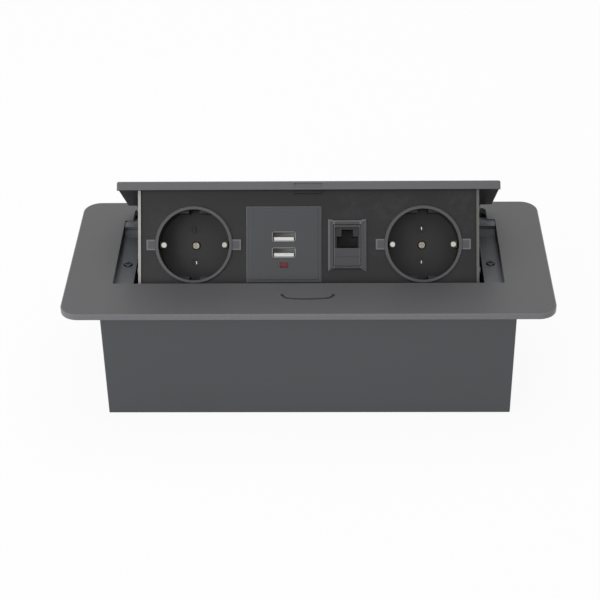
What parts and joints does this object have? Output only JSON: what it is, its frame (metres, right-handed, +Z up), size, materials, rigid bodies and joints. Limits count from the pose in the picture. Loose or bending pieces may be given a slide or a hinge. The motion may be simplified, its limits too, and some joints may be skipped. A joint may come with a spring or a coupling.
{
  "type": "in-desk power module",
  "caption": "In-desk power module: a steel box under a rimmed faceplate, with a hinged lid and panel that swing up to show round earthed sockets, charging ports and a network outlet.",
  "frame": {"origin": "under the middle of the box, on the plane of its flat bottom", "axes": "+X to the right along the faceplate's length, +Y to the back of the desk, +Z up; the carrier is shown swung open"},
  "size_m": [0.267, 0.121, 0.1145],
  "materials": {
    "faceplate": "fine satin paint",
    "rim_gasket": "soft matt",
    "box_shell": "fine matt paint",
    "left_bracket": "fine matt paint",
    "right_bracket": "fine matt paint",
    "rear_strip": "fine matt paint",
    "left_end_block": "moulded",
    "right_end_block": "moulded",
    "shelf_screws": "dark zinc",
    "left_hinge_pin": "plain",
    "right_hinge_pin": "plain",
    "cable_grommet": "soft matt",
    "catch_case": "moulded",
    "catch_magnet": "plain",
    "lid": "fine satin paint",
    "striker": "fine matt paint",
    "left_cheek": "fine matt paint with bare cut edges",
    "right_cheek": "fine matt paint with bare cut edges",
    "cheek_screws": "dark zinc",
    "socket_panel": "fine matt paint",
    "wiring_cover": "moulded",
    "left_socket": "moulded",
    "right_socket": "moulded",
    "left_earth_clips": "nickel plated",
    "right_earth_clips": "nickel plated",
    "left_socket_back": "moulded",
    "right_socket_back": "moulded",
    "left_contacts": "plain",
    "right_contacts": "plain",
    "socket_screws": "nickel plated",
    "usb_plate": "moulded",
    "upper_usb_shell": "nickel plated",
    "lower_usb_shell": "nickel plated",
    "upper_usb_tongue": "moulded",
    "lower_usb_tongue": "moulded",
    "led_lens": "clear red",
    "usb_board": "resin board",
    "usb_case": "moulded",
    "network_frame": "moulded",
    "network_jack": "moulded",
    "network_contacts": "gold plated"
  },
  "bodies": {
    "housing": {"faceplate": "faceplate", "rim_gasket": "rim_gasket", "box_shell": "box_shell", "left_bracket": "left_bracket", "right_bracket": "right_bracket", "rear_strip": "rear_strip", "left_end_block": "left_end_block", "right_end_block": "right_end_block", "shelf_screws": "shelf_screws", "left_hinge_pin": "left_hinge_pin", "right_hinge_pin": "right_hinge_pin", "cable_grommet": "cable_grommet", "catch_case": "catch_case", "catch_magnet": "catch_magnet"},
    "carrier": {"lid": "lid", "striker": "striker", "left_cheek": "left_cheek", "right_cheek": "right_cheek", "cheek_screws": "cheek_screws", "socket_panel": "socket_panel", "wiring_cover": "wiring_cover", "left_socket": "left_socket", "right_socket": "right_socket", "left_earth_clips": "left_earth_clips", "right_earth_clips": "right_earth_clips", "left_socket_back": "left_socket_back", "right_socket_back": "right_socket_back", "left_contacts": "left_contacts", "right_contacts": "right_contacts", "socket_screws": "socket_screws", "usb_plate": "usb_plate", "upper_usb_shell": "upper_usb_shell", "lower_usb_shell": "lower_usb_shell", "upper_usb_tongue": "upper_usb_tongue", "lower_usb_tongue": "lower_usb_tongue", "led_lens": "led_lens", "usb_board": "usb_board", "usb_case": "usb_case", "network_frame": "network_frame", "network_jack": "network_jack", "network_contacts": "network_contacts"}
  },
  "joints": [
    {"name": "carrier_hinge", "type": "hinge", "parent": "housing", "child": "carrier", "pos_m": [0, 0.0485, 0.0455], "axis": [1, 0, 0], "range_deg": [0, 40.6]}
  ]
}
